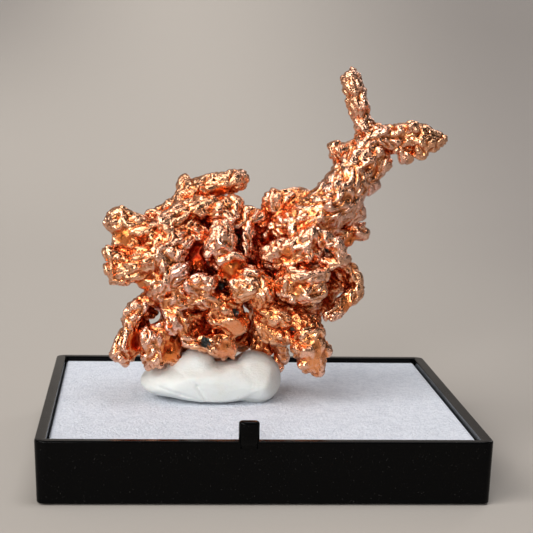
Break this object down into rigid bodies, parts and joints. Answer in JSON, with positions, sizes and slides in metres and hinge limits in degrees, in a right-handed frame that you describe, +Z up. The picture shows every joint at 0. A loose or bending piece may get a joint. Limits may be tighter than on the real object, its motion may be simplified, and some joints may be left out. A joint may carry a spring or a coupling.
{
  "type": "native copper nugget",
  "caption": "Knobbly branching native copper nugget held upright by a lump of white putty on the foam pad of a shallow square black display box base",
  "frame": {"origin": "middle of the underside of the box base, which is the lowest point", "axes": "+Z up, out of the box; -Y the side with the latch peg, which faces the viewer; +X to the viewer's right"},
  "size_m": [0.032, 0.032, 0.03],
  "materials": {
    "copper": "bright hackly native copper, pinkish on the ridges and deep red in the crevices",
    "putty": "matte off-white mounting putty, smoothed by fingers",
    "foam": "fine matte white foam sheet",
    "black_plastic": "glossy black moulded polystyrene"
  },
  "bodies": {
    "root": {"copper_nugget": "copper", "mounting_putty": "putty", "foam_pad": "foam", "box_base": "black_plastic"}
  },
  "joints": []
}
